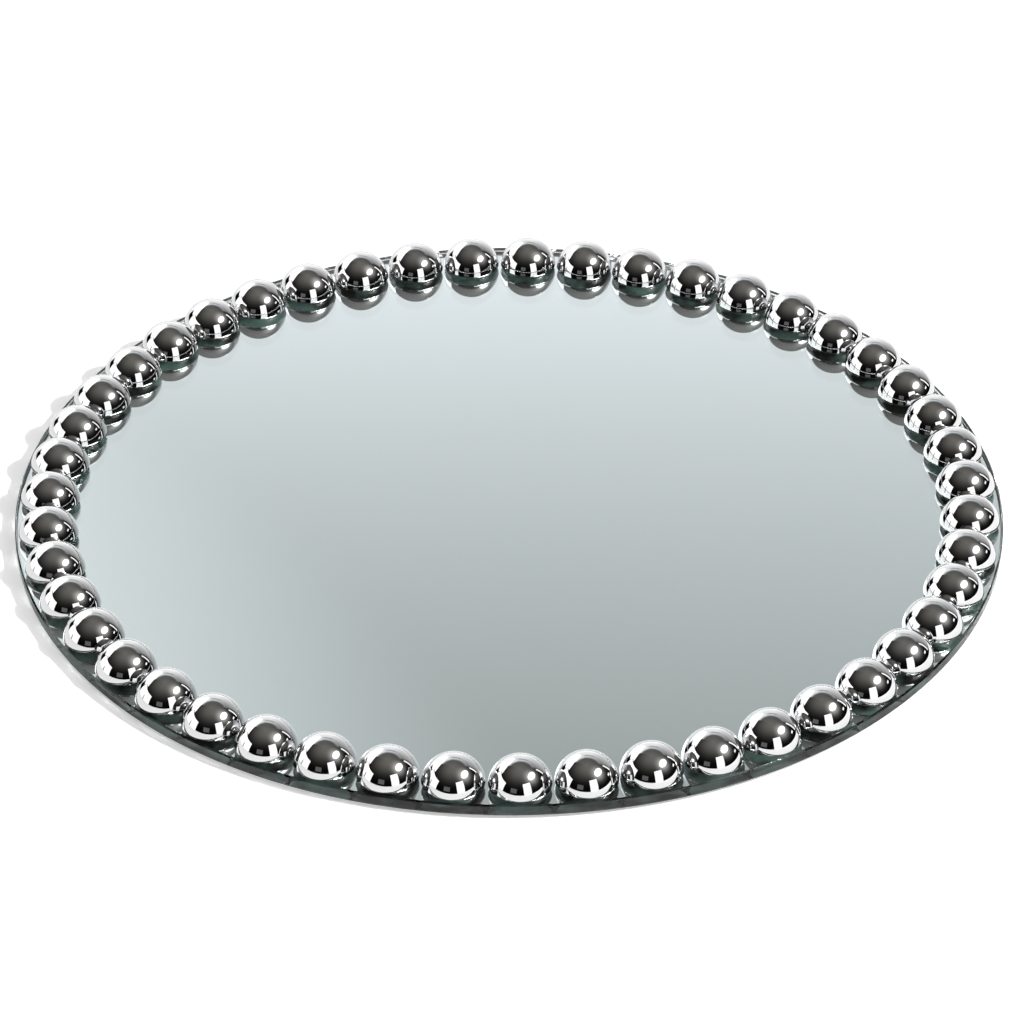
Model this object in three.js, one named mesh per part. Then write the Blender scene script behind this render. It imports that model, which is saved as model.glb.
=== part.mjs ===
// A round mirror tray: a silvered glass plate on a felt base, with a ring of chromed domed beads glued
// side by side round the edge of its top face.
// Millimetres, +Z up, with the origin at the centre of the underside.
import * as THREE from "three";

// Driving dimensions
const PLATE_DIAMETER = 330;
const PLATE_THICKNESS = 4;
const PLATE_ARRIS = 0.5; // the narrow bevel ground on both edges of the plate
const SILVER_THICKNESS = 0.1; // a coat far thinner than this, drawn as the thinnest useful solid
const PAINT_THICKNESS = 0.1;
const FELT_THICKNESS = 1;
const FELT_INSET = 2.5; // from the edge of the plate's flat back to the edge of the felt
const BEAD_DIAMETER = 20;
const BEAD_HEIGHT = 9.2; // a little less than half a ball
const BEAD_MARGIN = 0.7; // from the edge of the plate's flat top to the nearest bead
const BEAD_LEAST_GAP = 0.4; // the closest that two neighbouring beads may stand

// How finely the round pieces are faceted
const PLATE_SEGMENTS = 96;
const BEAD_SEGMENTS = 20;
const BEAD_BANDS = 5;

// Heights of the faces where one layer lies on the next, from the table up
const feltTop = FELT_THICKNESS;
const paintTop = feltTop + PAINT_THICKNESS;
const silverTop = paintTop + SILVER_THICKNESS;
const plateTop = silverTop + PLATE_THICKNESS;

// Radii across the plate, from its rim inwards
const plateRadius = PLATE_DIAMETER / 2;
const flatRadius = plateRadius - PLATE_ARRIS;
const feltRadius = flatRadius - FELT_INSET;
const beadRadius = BEAD_DIAMETER / 2;
const ringRadius = flatRadius - BEAD_MARGIN - beadRadius;
const wellRadius = ringRadius - beadRadius;

// As many beads as fit round the ring, spread evenly, so the gaps come out equal
const beadAngle = 2 * Math.asin((BEAD_DIAMETER + BEAD_LEAST_GAP) / (2 * ringRadius));
const beadCount = Math.floor((2 * Math.PI) / beadAngle);

// A finish with no texture: colour, roughness and metalness only
function finish(color, roughness, metalness) {
  return new THREE.MeshStandardMaterial({ color, roughness, metalness });
}

// A solid of revolution about +Z from a list of [radius, height] points that starts and ends on the axis
function turned(profile, segments) {
  const points = profile.map(([radius, height]) => new THREE.Vector2(radius, height));
  return new THREE.LatheGeometry(points, segments).rotateX(Math.PI / 2);
}

// A plain round sheet between two heights
function sheet(radius, bottom, top) {
  const profile = [
    [0, bottom],
    [radius, bottom],
    [radius, top],
    [0, top],
  ];
  return turned(profile, PLATE_SEGMENTS);
}

function named(name, geometry, material) {
  const mesh = new THREE.Mesh(geometry, material);
  mesh.name = name;
  return mesh;
}

// The felt sheet that the tray stands on, stuck to the painted back
function feltBase() {
  return named("felt_base", sheet(feltRadius, 0, feltTop), finish(0x1d1d1f, 0.95, 0));
}

// The paint that seals the silver against damp and scratches
function backingPaint() {
  return named("backing_paint", sheet(flatRadius, feltTop, paintTop), finish(0x4b4f52, 0.6, 0));
}

// The reflecting coat on the back of the glass, out to where the bevel starts
function silverLayer() {
  return named("silver_layer", sheet(flatRadius, paintTop, silverTop), finish(0xe4ebe9, 0.03, 1));
}

// The glass plate, with a bevel on each edge and a ring of points where the clear tray surface ends
function mirrorGlass() {
  const profile = [
    [0, silverTop],
    [flatRadius, silverTop],
    [plateRadius, silverTop + PLATE_ARRIS],
    [plateRadius, plateTop - PLATE_ARRIS],
    [flatRadius, plateTop],
    [wellRadius, plateTop],
    [0, plateTop],
  ];
  const glass = finish(0xb9cbc6, 0.02, 0);
  glass.transparent = true;
  glass.opacity = 0.35;
  return named("mirror_glass", turned(profile, PLATE_SEGMENTS), glass);
}

// One bead with its flat side down and centred on the origin: the top of a ball, cut off just above its middle
function beadShape() {
  const ballRadius = (beadRadius ** 2 + BEAD_HEIGHT ** 2) / (2 * BEAD_HEIGHT);
  const sunk = ballRadius - BEAD_HEIGHT; // how far the middle of the ball lies below the flat side
  const start = Math.asin(sunk / ballRadius);
  const profile = [[0, 0]];
  for (let band = 0; band <= BEAD_BANDS; band++) {
    const latitude = start + ((Math.PI / 2 - start) * band) / BEAD_BANDS;
    profile.push([ballRadius * Math.cos(latitude), ballRadius * Math.sin(latitude) - sunk]);
  }
  return turned(profile, BEAD_SEGMENTS);
}

// The beads, numbered counter-clockwise from the middle of the front
function beadRing() {
  const ring = new THREE.Group();
  const shape = beadShape();
  for (let index = 0; index < beadCount; index++) {
    const number = String(index + 1).padStart(2, "0");
    const angle = (2 * Math.PI * index) / beadCount - Math.PI / 2;
    const bead = named(`half_bead_${number}`, shape, finish(0xdfdfe2, 0.05, 1));
    bead.position.set(ringRadius * Math.cos(angle), ringRadius * Math.sin(angle), plateTop);
    ring.add(bead);
  }
  return ring;
}

const tray = new THREE.Group();
tray.add(feltBase(), backingPaint(), silverLayer(), mirrorGlass(), beadRing());

export default tray;
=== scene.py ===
# %% [markdown]
# # A round mirror tray with a ring of chrome beads
# The tray is a stack: a felt sheet, a coat of paint, a coat of silver and a plate of clear glass, and on the
# glass stands a ring of chromed domed beads. The solids of the stack arrive as a fixed frame with flat
# facets, which is right for weighing and colliding but wrong for a mirror: a facet shows as a broken
# reflection. So each layer and each bead is made again here as a smooth surface in the same place. Loading
# the frame comes first.

# %% Load the frame
import math
import bpy
import numpy as np
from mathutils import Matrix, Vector


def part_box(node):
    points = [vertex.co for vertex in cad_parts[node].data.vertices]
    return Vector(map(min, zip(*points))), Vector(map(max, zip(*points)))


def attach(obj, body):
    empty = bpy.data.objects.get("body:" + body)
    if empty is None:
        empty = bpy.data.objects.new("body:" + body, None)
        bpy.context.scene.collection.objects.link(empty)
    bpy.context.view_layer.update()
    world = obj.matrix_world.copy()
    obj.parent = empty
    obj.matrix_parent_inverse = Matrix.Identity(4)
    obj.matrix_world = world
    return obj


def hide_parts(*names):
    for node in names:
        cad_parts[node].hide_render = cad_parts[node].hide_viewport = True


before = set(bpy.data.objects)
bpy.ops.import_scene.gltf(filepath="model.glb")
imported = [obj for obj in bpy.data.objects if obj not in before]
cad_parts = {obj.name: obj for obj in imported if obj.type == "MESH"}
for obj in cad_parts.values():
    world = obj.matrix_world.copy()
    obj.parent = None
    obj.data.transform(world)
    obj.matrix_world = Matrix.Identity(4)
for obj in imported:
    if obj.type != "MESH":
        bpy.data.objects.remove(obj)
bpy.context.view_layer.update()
MM = 0.001
print("nodes in the frame:", len(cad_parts))

# %% [markdown]
# ## Sizes, taken from the frame
# Nothing is measured twice. The plate's rim, the width of the bevel ground on its edge (the arris) and every
# layer's height are read from the boxes of the frame's nodes, so this file follows the solids if they change.

# %% Read the sizes of the stack
glass_low, glass_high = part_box("mirror_glass")
silver_low, silver_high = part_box("silver_layer")
paint_low, paint_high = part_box("backing_paint")
felt_low, felt_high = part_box("felt_base")
plate_radius = glass_high[0]
flat_radius = silver_high[0]
felt_radius = felt_high[0]
arris = plate_radius - flat_radius
print("plate radius %.1f mm, arris %.2f mm, glass from %.2f to %.2f mm high" % (
    plate_radius / MM, arris / MM, glass_low[2] / MM, glass_high[2] / MM))

# %% [markdown]
# ## Easing an outline
# Nothing real has a perfectly sharp edge. The thin curve between two faces is what catches the light along
# the edge of the glass, so a helper eases the corners of an outline before the outline is turned. A bevel
# modifier could do it on the finished mesh, but here every point stays where the formula puts it.

# %% A helper that eases corners
CORNER_STEPS = 5
BESIDE_CORNER = 1.5  # how far off the points beside a curve stand, as a multiple of its radius


def eased(corners, radius):
    """Rounds the inner corners of an open outline of (radius, height) points.

    A corner P becomes the curve (1-s)^2 A + 2 s (1-s) P + s^2 B for s from 0 to 1, where A and B lie
    `radius` away from P on the way to the corners before and after it. One more point on each side, half a
    radius further off, keeps the smooth shading of the curve from bending the flat faces beside it.
    """
    corners = np.asarray(corners, dtype=float)
    s = np.linspace(0.0, 1.0, CORNER_STEPS)[:, None]
    parts = [corners[:1]]
    for before, corner, after in zip(corners[:-2], corners[1:-1], corners[2:]):
        back = radius * (before - corner) / np.linalg.norm(before - corner)
        ahead = radius * (after - corner) / np.linalg.norm(after - corner)
        curve = (1 - s) ** 2 * (corner + back) + 2 * s * (1 - s) * corner + s ** 2 * (corner + ahead)
        parts.append(np.vstack([corner + BESIDE_CORNER * back, curve, corner + BESIDE_CORNER * ahead]))
    parts.append(corners[-1:])
    return np.vstack(parts)


print("one square corner becomes", len(eased([(0, 0), (1, 0), (1, 1)], radius=0.1)) - 2, "points")

# %% [markdown]
# ## Turning an outline
# Every piece of this tray is round, so one helper carries an outline round an upright axis. A screw modifier
# could do that too, but working the points out as arrays keeps them exact and closes each pole with one
# point.

# %% A helper that turns an outline
def turned(outline, segments, centre=(0.0, 0.0), wander=None):
    """Carries an outline that starts and ends on the axis round that axis.

    Point j of ring i is (r_i w_j cos a_j, r_i w_j sin a_j, z_i) with a_j = 2 pi j / segments, and w_j is 1,
    or a slight wander of the radius. The first and last points are single poles, joined by triangles; all
    the other faces are quads. With the outline running out along the bottom, up and back in along the top,
    the faces point outwards. Returns the vertices and the faces.
    """
    outline = np.asarray(outline, dtype=float)
    rings = outline[1:-1]
    angle = 2 * np.pi * np.arange(segments) / segments
    spread = np.ones(segments) if wander is None else wander(angle)
    x = centre[0] + np.outer(rings[:, 0], spread * np.cos(angle))
    y = centre[1] + np.outer(rings[:, 0], spread * np.sin(angle))
    z = np.repeat(rings[:, 1:], segments, axis=1)
    poles = [[centre[0], centre[1], outline[0, 1]], [centre[0], centre[1], outline[-1, 1]]]
    vertices = np.vstack([np.stack([x, y, z], axis=-1).reshape(-1, 3), poles])
    here = np.arange(len(rings) * segments).reshape(len(rings), segments)
    beside = np.roll(here, -1, axis=1)
    quads = np.stack([here[:-1], beside[:-1], beside[1:], here[1:]], axis=-1).reshape(-1, 4)
    bottom = np.stack([np.full(segments, len(vertices) - 2), beside[0], here[0]], axis=-1)
    top = np.stack([np.full(segments, len(vertices) - 1), here[-1], beside[-1]], axis=-1)
    return vertices, quads.tolist() + bottom.tolist() + top.tolist()


cone_points, cone_faces = turned([(0, 0), (1, 0), (0, 1)], segments=16)
print("a plain cone turned in 16 segments:", len(cone_points), "points and", len(cone_faces), "faces")

# %% [markdown]
# ## Putting a piece into the scene
# A finished surface becomes an object at the origin, with its place in its mesh, and the solid of the frame
# that it stands for is hidden. Shading is smooth over gentle bends and stops at sharp ones. A bead has one
# finish on its dome and another on its back, so a second helper gives a finish to the faces that point down.
# Two meshes would do as well, but then the seam between them would have to be closed.

# %% Helpers that place a piece and finish its back
SHARP_ANGLE = math.radians(35)
POINTS_DOWN = -0.99  # a face whose normal has no more than this upwards counts as pointing down


def add_piece(name, shape, material, node):
    """Makes a mesh object of (vertices, faces) that stands for a node of the frame."""
    vertices, faces = shape
    mesh = bpy.data.meshes.new(name)
    mesh.from_pydata(vertices.tolist(), [], faces)
    mesh.polygons.foreach_set("use_smooth", np.ones(len(faces), dtype=bool))
    mesh.set_sharp_from_angle(angle=SHARP_ANGLE)
    mesh.materials.append(material)
    piece = bpy.data.objects.new(name, mesh)
    bpy.context.scene.collection.objects.link(piece)
    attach(piece, "root")
    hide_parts(node)
    return piece


def finish_back(piece, material):
    """Gives a second material to the faces that point down, and returns how many there are."""
    normals = np.zeros(3 * len(piece.data.polygons))
    piece.data.polygons.foreach_get("normal", normals)
    chosen = normals[2::3] <= POINTS_DOWN
    piece.data.materials.append(material)
    piece.data.polygons.foreach_set("material_index", chosen.astype(np.int32))
    return int(chosen.sum())


print("shading is smooth over bends of up to %.0f degrees" % math.degrees(SHARP_ANGLE))

# %% [markdown]
# ## Effects shared by several finishes
# Glass, chrome, paint and felt are never quite even. What they share is made once, as node groups, and each
# finish sets its own values. All of them start from a noise that sits on the object's own coordinates, so it
# stays with the piece wherever the piece goes. An image could hold such marks too, but only at one size.

# %% Helpers that start an effect
def new_group(name, inputs, output):
    """Starts a node group with the given input sockets and one output socket."""
    group = bpy.data.node_groups.new(name, "ShaderNodeTree")
    for label, kind, value in inputs:
        socket = group.interface.new_socket(label, in_out="INPUT", socket_type=kind)
        socket.default_value = value
    group.interface.new_socket(output[0], in_out="OUTPUT", socket_type=output[1])
    entry = group.nodes.new("NodeGroupInput")
    leave = group.nodes.new("NodeGroupOutput")
    return group, entry, leave


def noise_on_object(group, entry, detail):
    """A noise texture on Object coordinates, with its scale taken from the group's Scale."""
    place = group.nodes.new("ShaderNodeTexCoord")
    noise = group.nodes.new("ShaderNodeTexNoise")
    noise.inputs["Detail"].default_value = detail
    group.links.new(place.outputs["Object"], noise.inputs["Vector"])
    group.links.new(entry.outputs["Scale"], noise.inputs["Scale"])
    return noise


print("effects so far:", len(bpy.data.node_groups))

# %% [markdown]
# ## Wiping marks
# Even clean chrome and glass carry faint marks from the last cloth, which show as slightly duller patches.
# The group puts out a roughness that stays at a clean value and rises to a dull one where the noise is high.

# %% The wiping marks
MARKS_DETAIL = 4.0
MARKS_START = 0.42  # the noise at which a surface starts to turn dull
MARKS_FULL = 0.72  # the noise from which it is as dull as it gets


def wiping_marks():
    """Roughness that drifts from Clean to Dull with a smooth noise."""
    inputs = [
        ("Scale", "NodeSocketFloat", 60.0),
        ("Clean", "NodeSocketFloat", 0.01),
        ("Dull", "NodeSocketFloat", 0.05),
    ]
    group, entry, leave = new_group("wiping_marks", inputs, ("Roughness", "NodeSocketFloat"))
    noise = noise_on_object(group, entry, MARKS_DETAIL)
    spread = group.nodes.new("ShaderNodeMapRange")
    spread.interpolation_type = "SMOOTHSTEP"
    spread.inputs["From Min"].default_value = MARKS_START
    spread.inputs["From Max"].default_value = MARKS_FULL
    group.links.new(noise.outputs["Fac"], spread.inputs["Value"])
    group.links.new(entry.outputs["Clean"], spread.inputs["To Min"])
    group.links.new(entry.outputs["Dull"], spread.inputs["To Max"])
    group.links.new(spread.outputs["Result"], leave.inputs["Roughness"])
    return group


marks_group = wiping_marks()
print("made the effect:", marks_group.name)

# %% [markdown]
# ## Mottled colour
# Paint, felt, silver and plating are never one even colour. The group drifts between two shades. A colour
# ramp would do, but its stops can't be inputs of a group, so the noise is stretched about its middle instead:
# the higher the contrast, the clearer the patches.

# %% The mottled colour
MOTTLE_DETAIL = 6.0
NOISE_MIDDLE = 0.5
FIRST_COLOUR, SECOND_COLOUR, MIXED_COLOUR = 6, 7, 2  # the colour sockets of a Mix node


def mottled_colour():
    """A colour between Shade A and Shade B: the mix is Contrast (noise - 1/2) + 1/2, kept from 0 to 1."""
    inputs = [
        ("Scale", "NodeSocketFloat", 60.0),
        ("Contrast", "NodeSocketFloat", 1.0),
        ("Shade A", "NodeSocketColor", (0.8, 0.8, 0.8, 1.0)),
        ("Shade B", "NodeSocketColor", (0.7, 0.7, 0.7, 1.0)),
    ]
    group, entry, leave = new_group("mottled_colour", inputs, ("Color", "NodeSocketColor"))
    noise = noise_on_object(group, entry, MOTTLE_DETAIL)
    about_zero = group.nodes.new("ShaderNodeMath")
    about_zero.operation = "SUBTRACT"
    about_zero.inputs[1].default_value = NOISE_MIDDLE
    stretched = group.nodes.new("ShaderNodeMath")
    stretched.operation = "MULTIPLY_ADD"
    stretched.use_clamp = True
    stretched.inputs[2].default_value = NOISE_MIDDLE
    mix = group.nodes.new("ShaderNodeMix")
    mix.data_type = "RGBA"
    group.links.new(noise.outputs["Fac"], about_zero.inputs[0])
    group.links.new(about_zero.outputs["Value"], stretched.inputs[0])
    group.links.new(entry.outputs["Contrast"], stretched.inputs[1])
    group.links.new(stretched.outputs["Value"], mix.inputs["Factor"])
    group.links.new(entry.outputs["Shade A"], mix.inputs[FIRST_COLOUR])
    group.links.new(entry.outputs["Shade B"], mix.inputs[SECOND_COLOUR])
    group.links.new(mix.outputs[MIXED_COLOUR], leave.inputs["Color"])
    return group


mottle_group = mottled_colour()
print("made the effect:", mottle_group.name)

# %% [markdown]
# ## Fine grain
# Sprayed paint is pitted and felt is hairy, far too finely to model. A bump that follows a noise bends the
# normals as such a grain would, and the group's depth is the real height of the grain.

# %% The fine grain
GRAIN_DETAIL = 3.0


def fine_grain():
    """A normal bent by a noise: Depth is the height of the grain in metres."""
    inputs = [
        ("Scale", "NodeSocketFloat", 800.0),
        ("Strength", "NodeSocketFloat", 0.3),
        ("Depth", "NodeSocketFloat", 0.0001),
    ]
    group, entry, leave = new_group("fine_grain", inputs, ("Normal", "NodeSocketVector"))
    noise = noise_on_object(group, entry, GRAIN_DETAIL)
    bump = group.nodes.new("ShaderNodeBump")
    group.links.new(noise.outputs["Fac"], bump.inputs["Height"])
    group.links.new(entry.outputs["Strength"], bump.inputs["Strength"])
    group.links.new(entry.outputs["Depth"], bump.inputs["Distance"])
    group.links.new(bump.outputs["Normal"], leave.inputs["Normal"])
    return group


grain_group = fine_grain()
print("made the effect:", grain_group.name)

# %% [markdown]
# ## Making a finish
# Every finish of the tray is a Principled shader. Values that are the same all over are set on its own
# sockets, and only what changes over the surface comes in through a link, from one of the shared effects.

# %% Helpers that make a finish
def new_finish(name, **sockets):
    """A Principled material with plain values set on its own sockets. Returns the material and the shader."""
    material = bpy.data.materials.new(name)
    material.use_nodes = True
    shader = material.node_tree.nodes["Principled BSDF"]
    for label, value in sockets.items():
        shader.inputs[label.replace("_", " ")].default_value = value
    return material, shader


def effect(material, group, socket, **values):
    """Places a shared effect in a material, sets its inputs and links it to a socket."""
    tree = material.node_tree
    place = tree.nodes.new("ShaderNodeGroup")
    place.node_tree = group
    for label, value in values.items():
        place.inputs[label.replace("_", " ")].default_value = value
    tree.links.new(place.outputs[0], socket)
    return place


print("materials that came with the frame:", len(bpy.data.materials))

# %% [markdown]
# ## The finish of the glass
# Float glass is clear through its face and green along its edge, because light that runs along the plate
# passes through far more of it. A tint on the surface can't do that, so the colour comes from absorption
# inside the plate: red is taken up first.

# %% The finish of the glass
GLASS_IOR = 1.52
GLASS_TAKES_UP = 14.5  # how strongly red is taken up, for each metre of glass
GLASS_TINT = (0.0, 0.48, 0.46, 1.0)  # how much of that red, green and blue are spared


def glass_finish():
    """Clear glass: after d metres the share exp(-d GLASS_TAKES_UP (1 - GLASS_TINT)) of the light is left."""
    material, shader = new_finish(
        "float_glass", Base_Color=(1, 1, 1, 1), Metallic=0.0, IOR=GLASS_IOR, Transmission_Weight=1.0)
    effect(material, marks_group, shader.inputs["Roughness"], Scale=9.0, Clean=0.0, Dull=0.006)
    body = material.node_tree.nodes.new("ShaderNodeVolumeAbsorption")
    body.inputs["Color"].default_value = GLASS_TINT
    body.inputs["Density"].default_value = GLASS_TAKES_UP
    out = material.node_tree.nodes["Material Output"]
    material.node_tree.links.new(body.outputs["Volume"], out.inputs["Volume"])
    return material


float_glass = glass_finish()
print("made the finish:", float_glass.name)

# %% [markdown]
# ## The plate
# The plate keeps its real thickness, with a bevel ground on both edges, because light has to travel inside
# it. It is turned in many segments: a rim of straight pieces would show in the light along the edge.

# %% The glass plate
EDGE_EASE = 0.12 * MM
PLATE_SEGMENTS = 720


def glass_outline():
    """Bottom face, bevel, edge, bevel and top face, with every corner eased a little."""
    low, high = glass_low[2], glass_high[2]
    corners = [
        (0.0, low),
        (flat_radius, low),
        (plate_radius, low + arris),
        (plate_radius, high - arris),
        (flat_radius, high),
        (0.0, high),
    ]
    return eased(corners, EDGE_EASE)


plate_shape = turned(glass_outline(), PLATE_SEGMENTS)
plate = add_piece("plate_glass", plate_shape, float_glass, "mirror_glass")
print("plate_glass:", len(plate.data.polygons), "faces")

# %% [markdown]
# ## The finish of the silver
# What makes the plate a mirror is a coat of silver on its back. Towards the rim the bevel has cut through the
# coat, and silver darkens where its edge is open to the air, so the last fraction of a millimetre fades. The
# distance from the axis, worked out from the object's coordinates, says where that is. A ring of its own
# could carry the dark shade instead, but then it would start with a line and not with a fade.

# %% The finish of the silver
SPOILED_WIDTH = 0.6 * MM
SPOILED_SHADE = (0.09, 0.085, 0.08, 1.0)
FLATTEN = (1.0, 1.0, 0.0)  # takes the height out of a place, so that its length is its radius


def silver_finish():
    """Faintly mottled silver that turns to SPOILED_SHADE over the last SPOILED_WIDTH of the radius."""
    material, shader = new_finish("silver_coat", Metallic=1.0, Roughness=0.0)
    tree = material.node_tree
    shade = effect(
        material, mottle_group, shader.inputs["Base Color"],
        Scale=14.0, Shade_A=(0.955, 0.965, 0.96, 1.0), Shade_B=(0.935, 0.95, 0.945, 1.0))
    place = tree.nodes.new("ShaderNodeTexCoord")
    across = tree.nodes.new("ShaderNodeVectorMath")
    across.operation = "MULTIPLY"
    across.inputs[1].default_value = FLATTEN
    radius = tree.nodes.new("ShaderNodeVectorMath")
    radius.operation = "LENGTH"
    spoiled = tree.nodes.new("ShaderNodeMapRange")
    spoiled.interpolation_type = "SMOOTHSTEP"
    spoiled.inputs["From Min"].default_value = flat_radius - SPOILED_WIDTH
    spoiled.inputs["From Max"].default_value = flat_radius
    darken = tree.nodes.new("ShaderNodeMix")
    darken.data_type = "RGBA"
    darken.inputs[SECOND_COLOUR].default_value = SPOILED_SHADE
    tree.links.new(place.outputs["Object"], across.inputs[0])
    tree.links.new(across.outputs["Vector"], radius.inputs[0])
    tree.links.new(radius.outputs["Value"], spoiled.inputs["Value"])
    tree.links.new(spoiled.outputs["Result"], darken.inputs["Factor"])
    tree.links.new(shade.outputs["Color"], darken.inputs[FIRST_COLOUR])
    tree.links.new(darken.outputs[MIXED_COLOUR], shader.inputs["Base Color"])
    return material


mirror_silver = silver_finish()
print("made the finish:", mirror_silver.name)

# %% [markdown]
# ## The silver coat
# The coat lies against the glass with no air between. Two faces in one plane would flicker, and a gap would
# be a second surface, so its top reaches a hair into the plate: light inside the glass meets metal.

# %% The silver coat
BITE = 0.01 * MM  # how far a coat or a glued face reaches into the glass
SILVER_EASE = 0.02 * MM


def sheet_outline(radius, low, high, ease):
    """A flat round sheet with slightly eased edges."""
    return eased([(0.0, low), (radius, low), (radius, high), (0.0, high)], ease)


silver_shape = turned(
    sheet_outline(flat_radius, silver_low[2], silver_high[2] + BITE, SILVER_EASE), PLATE_SEGMENTS)
silver = add_piece("silver_coat", silver_shape, mirror_silver, "silver_layer")
print("silver_coat:", len(silver.data.polygons), "faces")

# %% [markdown]
# ## The paint
# Behind the silver a grey paint keeps the damp out. It is rolled or sprayed on, so it is matt, a little
# uneven in colour and finely pitted. The pits are far too small to model, so a bump stands in for them.

# %% The paint on the back
PAINT_EASE = 0.03 * MM


def paint_finish():
    """Matt grey paint, uneven in colour and dullness, with a fine grain."""
    material, shader = new_finish("back_paint", Metallic=0.0, Roughness=0.6)
    effect(
        material, mottle_group, shader.inputs["Base Color"],
        Scale=90.0, Shade_A=(0.25, 0.265, 0.275, 1.0), Shade_B=(0.33, 0.345, 0.355, 1.0))
    effect(material, marks_group, shader.inputs["Roughness"], Scale=120.0, Clean=0.5, Dull=0.68)
    effect(material, grain_group, shader.inputs["Normal"], Scale=1500.0, Strength=0.25, Depth=0.00005)
    return material


paint_shape = turned(sheet_outline(flat_radius, paint_low[2], paint_high[2], PAINT_EASE), PLATE_SEGMENTS)
paint = add_piece("back_paint", paint_shape, paint_finish(), "backing_paint")
print("back_paint:", len(paint.data.polygons), "faces")

# %% [markdown]
# ## The finish of the felt
# Felt is pressed fibre: nearly black here, flecked with paler hairs, and soft at a grazing angle, where light
# catches the loose ends. Real hairs would be a great many strands that no one sees under a tray, so the
# flecks are a mottle with a clear contrast, and the softness is the shader's sheen.

# %% The finish of the felt
def felt_finish():
    """Black felt with paler flecks, a deep grain and a sheen."""
    material, shader = new_finish(
        "base_felt", Metallic=0.0, Roughness=0.95, Sheen_Weight=0.5, Sheen_Roughness=0.6)
    effect(
        material, mottle_group, shader.inputs["Base Color"],
        Scale=260.0, Contrast=1.8, Shade_A=(0.010, 0.010, 0.011, 1.0), Shade_B=(0.085, 0.085, 0.09, 1.0))
    effect(material, grain_group, shader.inputs["Normal"], Scale=2600.0, Strength=0.8, Depth=0.0003)
    return material


black_felt = felt_finish()
print("made the finish:", black_felt.name)

# %% [markdown]
# ## The felt base
# The felt under the tray is cut with a knife, so its edge wanders by a tenth of a millimetre or two. A few
# sine waves of the angle give that wander and close on themselves after one turn, which random steps would
# not.

# %% The felt base
FELT_SEGMENTS = 480
FELT_EASE = 0.3 * MM
WANDER = 0.15 * MM
rng = np.random.default_rng(7)
wave_counts = np.array([5, 11, 23, 41, 67])
wave_phases = rng.uniform(0, 2 * np.pi, len(wave_counts))


def cut_edge(angle):
    """1 minus a small sum of sines: the radius only ever falls short of the full sheet."""
    waves = np.sin(np.outer(angle, wave_counts) + wave_phases).mean(axis=1)
    return 1.0 - WANDER / felt_radius * (1.0 + waves) / 2


felt_shape = turned(
    sheet_outline(felt_radius, felt_low[2], felt_high[2], FELT_EASE), FELT_SEGMENTS, wander=cut_edge)
felt = add_piece("base_felt", felt_shape, black_felt, "felt_base")
print("base_felt:", len(felt.data.polygons), "faces")

# %% [markdown]
# ## The finishes of a bead
# The dome of a bead is chromed: a metal with hardly a mark. The back isn't plated: it is bare moulded
# plastic, patchy where glue has wetted it. Glue leaves no air against the glass, so light inside the plate
# reaches the back, and it shows in the mirror in front of each bead and through the edge of the plate.

# %% The finishes of a bead
def chrome_finish():
    """Bright chrome with a faint drift of tone and a few wiping marks."""
    material, shader = new_finish("bead_chrome", Metallic=1.0)
    effect(
        material, mottle_group, shader.inputs["Base Color"],
        Scale=70.0, Shade_A=(0.76, 0.76, 0.765, 1.0), Shade_B=(0.70, 0.70, 0.71, 1.0))
    effect(material, marks_group, shader.inputs["Roughness"], Scale=160.0, Clean=0.012, Dull=0.05)
    return material


def bead_back_finish():
    """Bare plastic with clear patches of near black and of a greenish grey."""
    material, shader = new_finish("bead_back", Metallic=0.0)
    effect(
        material, mottle_group, shader.inputs["Base Color"],
        Scale=75.0, Contrast=6.0, Shade_A=(0.006, 0.008, 0.007, 1.0), Shade_B=(0.19, 0.27, 0.25, 1.0))
    effect(material, marks_group, shader.inputs["Roughness"], Scale=300.0, Clean=0.35, Dull=0.6)
    return material


chrome = chrome_finish()
bead_back = bead_back_finish()
print("made the finishes:", chrome.name, bead_back.name)

# %% [markdown]
# ## The outline of a bead
# Each bead is a little lower than half a ball and has a flat back. Its outline runs out along the back, round
# a small lip, and then up an arc to the top. A ball from the menu could be cut in half, but its rings would
# not end on the lip. The arc is cut finely, because a mirror finish shows every facet. The back reaches a
# hair into the glass, as the silver does.

# %% The outline of a bead
BEAD_LIP = 0.3 * MM
BEAD_RINGS = 48
LIP_RINGS = 5


def bead_outline(radius, low, high):
    """Flat back, quarter-round lip, then the dome, which is the cap of a ball.

    A cap of radius r and height h belongs to a ball of radius b = (r^2 + h^2) / 2h, and the middle of that
    ball lies b - h below the back. The dome is (b cos t, b sin t) about that middle, with t from the lip up
    to 90 degrees.
    """
    height = high - low
    ball = (radius ** 2 + height ** 2) / (2 * height)
    middle = high - ball
    t = np.linspace(math.asin((low + BEAD_LIP - middle) / ball), np.pi / 2, BEAD_RINGS)
    dome = np.stack([ball * np.cos(t), middle + ball * np.sin(t)], axis=-1)
    dome[-1, 0] = 0.0
    b = np.linspace(0.0, np.pi / 2, LIP_RINGS, endpoint=False)
    lip_centre = dome[0, 0] - BEAD_LIP
    lip_low = low - BITE
    lip_height = dome[0, 1] - lip_low
    lip = np.stack([lip_centre + BEAD_LIP * np.sin(b), lip_low + lip_height * (1 - np.cos(b))], axis=-1)
    return np.vstack([[(0.0, lip_low), (lip_centre - BEAD_LIP, lip_low)], lip, dome])


bead_nodes = sorted(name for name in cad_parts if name.startswith("half_bead_"))
print("beads in the frame:", len(bead_nodes))

# %% [markdown]
# ## The ring of beads
# All beads have one shape, but each is its own piece, set where the frame has it, so that one can be picked
# or left out. Copies that share one mesh would be lighter, but a piece keeps its place in its own mesh.

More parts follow.
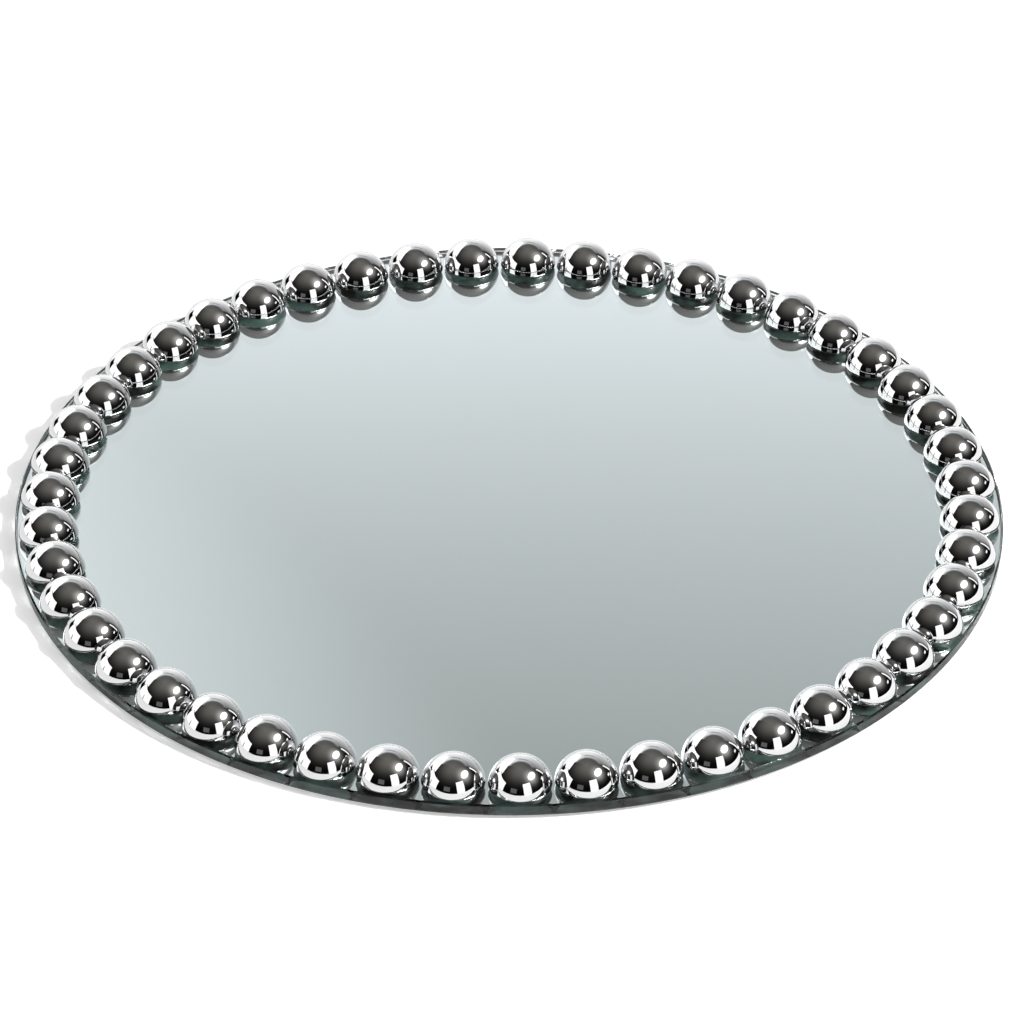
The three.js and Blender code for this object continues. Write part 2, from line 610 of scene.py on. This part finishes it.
# %% The ring of beads
BEAD_SEGMENTS = 128

for node in bead_nodes:
    low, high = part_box(node)
    centre = ((low[0] + high[0]) / 2, (low[1] + high[1]) / 2)
    radius = (high[0] - low[0]) / 2
    shape = turned(bead_outline(radius, low[2], high[2]), BEAD_SEGMENTS, centre)
    bead = add_piece(node.replace("half_", ""), shape, chrome, node)
    back_faces = finish_back(bead, bead_back)
print("a bead has", len(bead.data.polygons), "faces, with", back_faces, "on its back")

# %% [markdown]
# ## The studio
# Chrome and mirror have hardly a colour of their own: what they show is the room. The room here is a small
# studio, worked out from what the beads reflect: a pale table, a white backdrop behind the tray, dark walls,
# a dim ceiling, and soft boxes all round. The backdrop, the walls and the ceiling could be modelled, but a
# world whose colour depends only on the direction has no seams and takes no room. Its nodes do sums, so it
# starts with a helper for those.

# %% The world and its sums
world = bpy.data.worlds.new("studio")
world.use_nodes = True
world_tree = world.node_tree
world_tree.nodes.clear()


def feed(socket, value):
    """Links a socket to another node's output, or sets it to a plain value."""
    if isinstance(value, bpy.types.NodeSocket):
        socket.id_data.links.new(value, socket)
    else:
        socket.default_value = value


def worked_out(operation, *values, tree=world_tree):
    """The result of one step of arithmetic on the values."""
    made = tree.nodes.new("ShaderNodeMath")
    made.operation = operation
    for socket, value in zip(made.inputs, values):
        feed(socket, value)
    return made.outputs["Value"]


print("started the world:", world.name)

# %% [markdown]
# ## Directions in the studio
# A direction has four useful numbers: how far it points up, and how far its level part points ahead, to the
# left and to the right. Each is a sine, so 0.5 up is 30 degrees above the table. Angles would say the same,
# but sines come straight from the three parts of the direction.

# %% The direction as four numbers
direction = world_tree.nodes.new("ShaderNodeTexCoord").outputs["Generated"]
direction_parts = world_tree.nodes.new("ShaderNodeSeparateXYZ")
feed(direction_parts.inputs[0], direction)
to_x, to_y, up = direction_parts.outputs
level_squared = worked_out("ADD", worked_out("POWER", to_x, 2.0), worked_out("POWER", to_y, 2.0))
level = worked_out("SQRT", level_squared)
ahead = worked_out("DIVIDE", to_y, level)
rightward = worked_out("DIVIDE", to_x, level)
leftward = worked_out("DIVIDE", worked_out("MULTIPLY", to_x, -1.0), level)
print("nodes in the world so far:", len(world_tree.nodes))

# %% [markdown]
# ## The shape of the backdrop
# The backdrop is a white sheet behind the tray. In the middle it fades softly upwards, which gives the mirror
# its shading from pale at the back to grey at the front: the fade is exp((top - up) / depth), held at 1 below
# its top. On the left, on the right and above the fade it stands taller, as the outline of the dark ceiling
# in each bead shows. It stops on the left before the soft boxes there, and it gets less light towards the
# right. Each of these is a ramp, and their product says where the backdrop is.

# %% The shape of the backdrop
BACKDROP_TOP = 0.5035  # up, where the backdrop starts to fade
BACKDROP_FADE = 0.11  # up, over which it falls to about a third
BACKDROP_SIDES = (0.42, 0.62)  # ahead, where the backdrop starts and is full
LEFT_END = (0.64, 0.74)  # leftward, where it starts to stop and has stopped
RIGHT_FALL = (0.17, 1.15)  # rightward, where it starts to darken and would be dark
LEFT_EDGE = (-0.211, 0.249)  # leftward, the soft edge of the taller part on the left
RIGHT_EDGE = (0.15, 0.45)  # rightward, the soft edge of the taller part on the right
RIGHT_LEVEL = 0.75  # how strong the taller part on the right is
MIDDLE_EDGE = (0.615, 0.655)  # up, the lower edge of the taller part in the middle
MIDDLE_LEVEL = 0.75
TALLER_TOP = (0.68, 0.82)  # up, where the taller parts end
TALLER_BLEND = 0.06  # how softly the fade and the taller parts meet


def ramp(value, start, end, kind="SMOOTHSTEP"):
    """Goes from 0 to 1 while the value goes from start to end."""
    made = world_tree.nodes.new("ShaderNodeMapRange")
    made.interpolation_type = kind
    made.inputs["From Min"].default_value = start
    made.inputs["From Max"].default_value = end
    feed(made.inputs["Value"], value)
    return made.outputs["Result"]


fade_height = worked_out("DIVIDE", worked_out("SUBTRACT", BACKDROP_TOP, up), BACKDROP_FADE)
fade = worked_out("MINIMUM", worked_out("EXPONENT", fade_height), 1.0)
right_part = worked_out("MULTIPLY", ramp(rightward, *RIGHT_EDGE), RIGHT_LEVEL)
middle_part = worked_out("MULTIPLY", ramp(up, *MIDDLE_EDGE), MIDDLE_LEVEL)
side_parts = worked_out("MAXIMUM", ramp(leftward, *LEFT_EDGE), right_part)
below_top = worked_out("SUBTRACT", 1.0, ramp(up, *TALLER_TOP))
taller = worked_out("MULTIPLY", worked_out("MAXIMUM", side_parts, middle_part), below_top)
pale = worked_out("SMOOTH_MAX", fade, taller, TALLER_BLEND)
before_left_end = worked_out("SUBTRACT", 1.0, ramp(leftward, *LEFT_END))
facing = worked_out("MULTIPLY", ramp(ahead, *BACKDROP_SIDES), before_left_end)
right_light = worked_out("SUBTRACT", 1.0, ramp(rightward, *RIGHT_FALL, kind="LINEAR"))
backdrop = worked_out("MULTIPLY", worked_out("MULTIPLY", right_light, facing), pale)
backdrop.node.use_clamp = True
print("nodes in the world so far:", len(world_tree.nodes))

# %% [markdown]
# ## The colours of the backdrop and the room
# The foot of the backdrop is the brightest, and above its shoulder it has the faint tint that the mirror
# shows. The walls are almost black, and the ceiling gets a little of the light that the table throws up. A
# colour ramp could hold all of these, but separate mixes let each one follow its own number.

# %% The colours of the backdrop and the room
BACKDROP_FOOT = (1.35, 1.35, 1.35, 1.0)
BACKDROP_SHOULDER = (1.02, 1.02, 1.02, 1.0)
BACKDROP_MIDDLE = (1.08, 1.08, 1.13, 1.0)
BACKDROP_HEAD = (1.02, 1.08, 1.06, 1.0)
SHOULDER_ENDS = (0.42, 0.50)  # up, where the lower colours give way to the upper ones
WALL = (0.003, 0.003, 0.003, 1.0)
CEILING = (0.168, 0.162, 0.149, 1.0)
CEILING_POWER = 4.0  # how late the wall turns into the ceiling on the way up


def mixed(factor, first, second, blend="MIX"):
    """Goes from the first colour to the second, or to their sum, while the factor goes from 0 to 1."""
    made = world_tree.nodes.new("ShaderNodeMix")
    made.data_type = "RGBA"
    made.blend_type = blend
    feed(made.inputs["Factor"], factor)
    feed(made.inputs[FIRST_COLOUR], first)
    feed(made.inputs[SECOND_COLOUR], second)
    return made.outputs[MIXED_COLOUR]


to_ceiling = worked_out("POWER", worked_out("MAXIMUM", up, 0.0), CEILING_POWER)
room_colour = mixed(to_ceiling, WALL, CEILING)
lower_colour = mixed(ramp(up, 0.0, BACKDROP_TOP), BACKDROP_FOOT, BACKDROP_SHOULDER)
upper_colour = mixed(fade, BACKDROP_HEAD, BACKDROP_MIDDLE)
backdrop_colour = mixed(ramp(up, *SHOULDER_ENDS), lower_colour, upper_colour)
with_backdrop = mixed(backdrop, room_colour, backdrop_colour)
print("nodes in the world so far:", len(world_tree.nodes))

# %% [markdown]
# ## The glow round the key, and the finished world
# The key is the strongest lamp, high on the right and in front. The air and the ceiling round it glow, which
# each bead shows as a soft halo: it is exp((c - 1) / width), where c is the cosine of the angle from the key.
# A larger lamp would give a halo too, but with an edge. Looking straight at the world, the camera sees plain
# white.

# %% The glow round the key, and the finished world
KEY_AZIMUTH = -24
KEY_ELEVATION = 49
GLOW = (0.74, 0.73, 0.70, 1.0)
GLOW_WIDTH = 0.05  # 1 less the cosine of the angle over which the glow falls to about a third
BLACK = (0.0, 0.0, 0.0, 1.0)
WHITE = (1.0, 1.0, 1.0, 1.0)


def towards(azimuth, elevation):
    """The direction (cos e cos a, cos e sin a, sin e) for an azimuth and an elevation in degrees."""
    a, e = math.radians(azimuth), math.radians(elevation)
    return Vector((math.cos(e) * math.cos(a), math.cos(e) * math.sin(a), math.sin(e)))


along_key = world_tree.nodes.new("ShaderNodeVectorMath")
along_key.operation = "DOT_PRODUCT"
along_key.inputs[1].default_value = towards(KEY_AZIMUTH, KEY_ELEVATION)
feed(along_key.inputs[0], direction)
off_key = worked_out("DIVIDE", worked_out("SUBTRACT", along_key.outputs["Value"], 1.0), GLOW_WIDTH)
glow = mixed(worked_out("EXPONENT", off_key), BLACK, GLOW)
with_glow = mixed(1.0, with_backdrop, glow, blend="ADD")
world_rays = world_tree.nodes.new("ShaderNodeLightPath")
world_background = world_tree.nodes.new("ShaderNodeBackground")
feed(world_background.inputs["Color"], mixed(world_rays.outputs["Is Camera Ray"], with_glow, WHITE))
world_out = world_tree.nodes.new("ShaderNodeOutputWorld")
feed(world_out.inputs["Surface"], world_background.outputs["Background"])
bpy.context.scene.world = world
print("nodes in the finished world:", len(world_tree.nodes))

# %% [markdown]
# ## A soft box
# A soft box is a lamp behind white cloth, and it shows in each bead as a bright patch with the shape of the
# cloth. A glowing sheet would do the same, but an area lamp is sampled better. It is given by the direction
# it stands in, the angle that it covers and how bright its face is, because those can be read from a
# reflection. The first one is the large round box at the back on the left.

# %% A helper that sets up a soft box, and the first one
def soft_box(name, azimuth, elevation, distance, wide, tall, radiance, shape):
    """An area lamp that faces the tray.

    It stands `distance` metres off and covers `wide` by `tall` degrees as seen from the tray. A lamp of power
    P and area A has the radiance P / (pi A).
    """
    lamp = bpy.data.lights.new(name, "AREA")
    lamp.shape = shape
    lamp.size = 2 * distance * math.tan(math.radians(wide / 2))
    lamp.size_y = 2 * distance * math.tan(math.radians(tall / 2))
    area = lamp.size * lamp.size_y * (math.pi / 4 if shape == "ELLIPSE" else 1.0)
    lamp.energy = radiance * math.pi * area
    outward = towards(azimuth, elevation)
    box = bpy.data.objects.new(name, lamp)
    box.location = distance * outward
    box.rotation_euler = outward.to_track_quat("Z", "Y").to_euler()
    box.visible_camera = False
    bpy.context.scene.collection.objects.link(box)
    return box


octagon = soft_box("octagon_left", 135, 31, 2.0, 58, 30, 1.5, "ELLIPSE")
print("%s: %.2f m wide, %.1f W" % (octagon.name, octagon.data.size, octagon.data.energy))

# %% [markdown]
# ## The other lamps
# On the left stand two windows, with a lit strip in the upper part of the gap between them, in front another
# window and a dim doorway, and on the right a strip and a small lamp. The key is three lamps in one: a wide
# pale face, a bright middle, and a tiny strong one that throws the sharp shadows. The last lamp stands in for
# a path that is hard to find by chance: the key's light that goes through the glass and reaches the backs of
# the beads. Only rays that have passed through glass see it.

# %% The other lamps
KEY_MIDDLE = 46  # the elevation of the key's bright middle
LAMP_ROWS = [
    # name, azimuth, elevation, distance, wide, tall, radiance, shape
    ("window_left_far", 168, 14, 2.0, 26, 28, 1.5, "RECTANGLE"),
    ("window_left_near", 197, 14, 2.0, 26, 28, 1.5, "RECTANGLE"),
    ("window_left_top", 182.5, 20.4, 1.98, 4.2, 13.8, 1.5, "RECTANGLE"),
    ("window_front", -66, 19, 2.0, 26, 38, 1.45, "RECTANGLE"),
    ("key_box", KEY_AZIMUTH, KEY_ELEVATION, 1.7, 33, 22, 1.6, "ELLIPSE"),
    ("key_core", KEY_AZIMUTH, KEY_MIDDLE, 1.65, 9, 9, 12, "ELLIPSE"),
    ("key_lamp", KEY_AZIMUTH, KEY_MIDDLE, 1.6, 2.2, 2.2, 2250, "ELLIPSE"),
    ("strip_right", 21, 22, 2.0, 5, 32, 1.4, "RECTANGLE"),
    ("lamp_right", 4, 16, 2.0, 9, 5, 1.5, "RECTANGLE"),
    ("doorway", -113, 14, 2.0, 20, 15, 0.13, "RECTANGLE"),
    ("key_through_glass", KEY_AZIMUTH, KEY_ELEVATION, 1.75, 44, 34, 18, "ELLIPSE"),
]

lamps = {}
for row in LAMP_ROWS:
    lamp = soft_box(*row)
    lamps[lamp.name] = lamp
    print("%s: %.2f m wide, %.1f W" % (lamp.name, lamp.data.size, lamp.data.energy))
lamps["key_through_glass"].visible_diffuse = False
lamps["key_through_glass"].visible_glossy = False

# %% [markdown]
# ## Dark frames
# The two windows on the left have dark frames, which each bead shows as a thin line between bright patches.
# A frame is a black card just behind its lamp and a little larger. A border cut out of the card would look
# the same, because the lamp covers the middle. The card only shows in reflections and takes no light away.

# %% The dark frames
FRAME_WIDTH = 0.07
FRAME_BEHIND = 0.02

black_cloth, black_shader = new_finish("black_cloth", Roughness=0.9)
effect(
    black_cloth, mottle_group, black_shader.inputs["Base Color"],
    Scale=40.0, Shade_A=(0.005, 0.005, 0.005, 1.0), Shade_B=(0.02, 0.02, 0.02, 1.0))


def dark_frame(box):
    """A rectangle FRAME_WIDTH metres larger all round than a soft box, FRAME_BEHIND metres behind it."""
    half = np.array([box.data.size, box.data.size_y]) / 2 + FRAME_WIDTH
    edge = half * np.array([(1, 1), (-1, 1), (-1, -1), (1, -1)])
    mesh = bpy.data.meshes.new(box.name + "_frame")
    mesh.from_pydata(np.column_stack([edge, np.full(4, FRAME_BEHIND)]).tolist(), [], [(0, 1, 2, 3)])
    mesh.materials.append(black_cloth)
    card = bpy.data.objects.new(mesh.name, mesh)
    card.matrix_world = box.matrix_world
    card.visible_camera = False
    card.visible_diffuse = False
    card.visible_shadow = False
    bpy.context.scene.collection.objects.link(card)
    return card


bpy.context.view_layer.update()
for name in ("window_left_far", "window_left_near"):
    print("made the frame:", dark_frame(lamps[name]).name)

# %% [markdown]
# ## The finish of the table
# The table is a plain pale sheet. Under the lamps it comes out a light grey, so a little light of its own is
# added for what looks straight at it, and less for what sees it in chrome or glass. That brings it up to
# white and keeps the shadows. More lamps would do it too, but they would light the tray as well. From below
# the table is left clear, so that the underside of the tray can be looked at.

# %% The finish of the table
TABLE_COLOUR = (0.80, 0.80, 0.80, 1.0)
TABLE_LIFT = 0.40  # as the camera sees it
MIRRORED_LIFT = 0.20  # as chrome and glass see it


def table_finish():
    """A matt sheet, clear from below, with a glow of TABLE_LIFT, MIRRORED_LIFT or 0 for the kind of ray."""
    material = bpy.data.materials.new("pale_table")
    material.use_nodes = True
    tree = material.node_tree
    tree.nodes.clear()
    rays = tree.nodes.new("ShaderNodeLightPath").outputs
    in_mirror = worked_out("MAXIMUM", rays["Is Glossy Ray"], rays["Is Transmission Ray"], tree=tree)
    mirrored = worked_out("MULTIPLY", in_mirror, MIRRORED_LIFT, tree=tree)
    looked_at = worked_out("MULTIPLY", rays["Is Camera Ray"], TABLE_LIFT, tree=tree)
    matt = tree.nodes.new("ShaderNodeBsdfDiffuse")
    matt.inputs["Color"].default_value = TABLE_COLOUR
    lift = tree.nodes.new("ShaderNodeEmission")
    feed(lift.inputs["Strength"], worked_out("MAXIMUM", looked_at, mirrored, tree=tree))
    from_above = tree.nodes.new("ShaderNodeAddShader")
    feed(from_above.inputs[0], matt.outputs["BSDF"])
    feed(from_above.inputs[1], lift.outputs["Emission"])
    from_below = tree.nodes.new("ShaderNodeBsdfTransparent")
    side = tree.nodes.new("ShaderNodeNewGeometry")
    choose = tree.nodes.new("ShaderNodeMixShader")
    feed(choose.inputs["Fac"], side.outputs["Backfacing"])
    feed(choose.inputs[1], from_above.outputs["Shader"])
    feed(choose.inputs[2], from_below.outputs["BSDF"])
    out = tree.nodes.new("ShaderNodeOutputMaterial")
    feed(out.inputs["Surface"], choose.outputs["Shader"])
    return material


pale_table = table_finish()
print("made the finish:", pale_table.name)

# %% [markdown]
# ## The table
# The table is one large face, far larger than any view of the tray. It lies a hair under the felt, because
# two faces in one plane would flicker.

# %% The table
TABLE_DROP = 0.05 * MM
TABLE_HALF = 10.0

table_mesh = bpy.data.meshes.new("table")
table_edge = TABLE_HALF * np.array([(-1, -1), (1, -1), (1, 1), (-1, 1)])
table_corners = np.column_stack([table_edge, np.full(4, -TABLE_DROP)])
table_mesh.from_pydata(table_corners.tolist(), [], [(0, 1, 2, 3)])
table_mesh.materials.append(pale_table)
table = bpy.data.objects.new("table", table_mesh)
bpy.context.scene.collection.objects.link(table)
print("table: %.0f m wide" % (2 * TABLE_HALF))

# %% [markdown]
# ## The camera
# The picture was taken with a long lens from above and in front. The rim of a circle of known size gives the
# camera's height and distance: its width against its depth gives the elevation, and the difference between
# the near and far beads gives the distance.

# %% The camera
CAMERA_DISTANCE = 1.5127
CAMERA_ELEVATION = 34.38
CAMERA_AZIMUTH = -91.3
LENS = 158.5
SENSOR = 36.0
AIM = Vector((0.00096, -0.0006, glass_low[2]))

camera_data = bpy.data.cameras.new("camera")
camera_data.lens = LENS
camera_data.sensor_width = SENSOR
camera = bpy.data.objects.new("camera", camera_data)
to_camera = towards(CAMERA_AZIMUTH, CAMERA_ELEVATION)
camera.location = AIM + CAMERA_DISTANCE * to_camera
camera.rotation_euler = to_camera.to_track_quat("Z", "Y").to_euler()
bpy.context.scene.collection.objects.link(camera)
bpy.context.scene.camera = camera
bpy.context.scene.view_settings.view_transform = "Standard"
print("camera: %.2f m away, %.1f degrees up" % (CAMERA_DISTANCE, CAMERA_ELEVATION))
